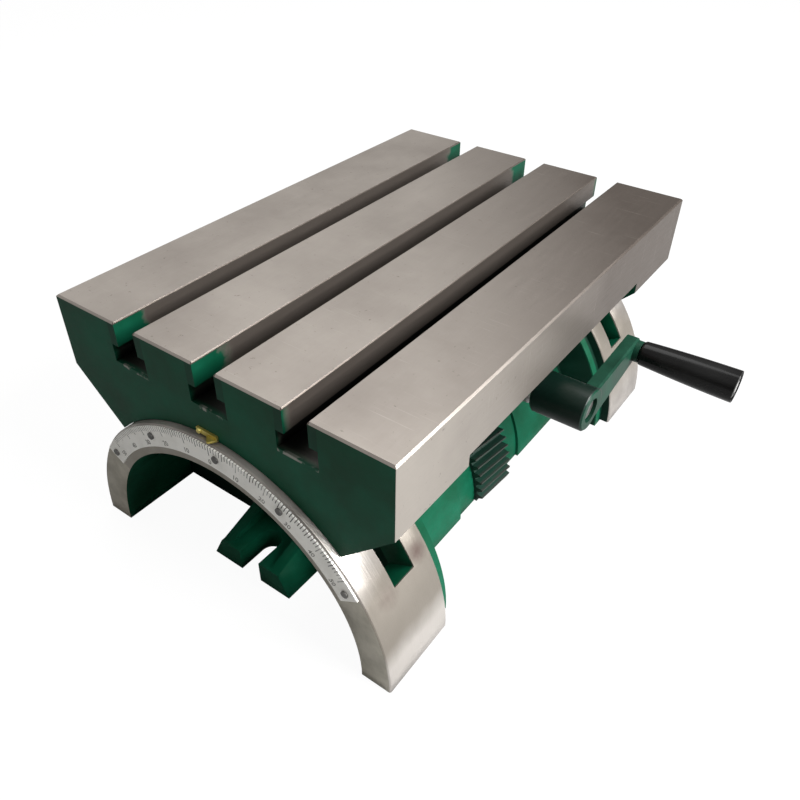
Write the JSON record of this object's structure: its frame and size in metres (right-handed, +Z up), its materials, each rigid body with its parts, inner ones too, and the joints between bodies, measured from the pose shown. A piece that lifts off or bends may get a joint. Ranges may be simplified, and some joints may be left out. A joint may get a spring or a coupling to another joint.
{
  "type": "tilting angle table",
  "caption": "Slotted machine table that tilts on two half rings of a cast base, turned by a hand crank through a worm and a toothed sector, with an angle scale and clamp bolts.",
  "frame": {"origin": "on the foot face of the base, at the middle of the base's length, where the tilt axis lies in that face", "axes": "+Z up and normal to the table top, +Y along the tilt axis away from the graduated ring, +X towards the crank"},
  "size_m": [0.2455, 0.2648, 0.125],
  "materials": {
    "machined_iron": "ground bare cast iron with smudges",
    "green_paint": "dark green machine enamel over cast iron",
    "gear_steel": "cut iron teeth with green paint in the roots",
    "bare_steel": "turned bare steel",
    "black_steel": "blackened high-tensile steel",
    "scale_metal": "matt silver scale plate with dark graduations",
    "brass": "stamped brass",
    "bronze": "cast bearing bronze",
    "black_plastic": "glossy black moulded plastic"
  },
  "bodies": {
    "base": {"base_casting": "green_paint", "worm_sector": "gear_steel", "sector_screws": "black_steel", "scale_plate": "scale_metal", "scale_rivets": "bare_steel"},
    "table": {"table_casting": "machined_iron", "angle_pointer": "brass", "pointer_screw": "brass", "worm_bracket": "green_paint", "bracket_screws": "black_steel", "bush_left": "bronze", "bush_right": "bronze", "bush_outer": "bronze", "clamp_bolt_front_left": "black_steel", "clamp_shoe_front_left": "bare_steel", "clamp_bolt_front_right": "black_steel", "clamp_shoe_front_right": "bare_steel", "clamp_bolt_rear_left": "black_steel", "clamp_shoe_rear_left": "bare_steel", "clamp_bolt_rear_right": "black_steel", "clamp_shoe_rear_right": "bare_steel"},
    "worm": {"worm": "bare_steel", "worm_pin": "bare_steel", "worm_shaft": "bare_steel", "shaft_washer": "bare_steel", "shaft_nut": "black_steel", "thrust_collar": "bare_steel", "collar_screw": "black_steel", "crank": "green_paint", "crank_set_screw": "black_steel", "grip_spindle": "bare_steel"},
    "grip": {"grip": "black_plastic"}
  },
  "joints": [
    {"name": "table_tilt", "type": "hinge", "parent": "base", "child": "table", "pos_m": [0, 0, 0], "axis": [0, 1, 0], "range_deg": [-45, 45]},
    {"name": "crank_spin", "type": "hinge", "parent": "table", "child": "worm", "pos_m": [0, 0, 0.0745], "axis": [1, 0, 0], "continuous": true},
    {"name": "grip_spin", "type": "hinge", "parent": "worm", "child": "grip", "pos_m": [0.1325, 0.04893, 0.08051], "axis": [1, 0, 0], "continuous": true}
  ],
  "couplings": [
    {"joint": "crank_spin", "follows": "table_tilt", "ratio": 42}
  ]
}
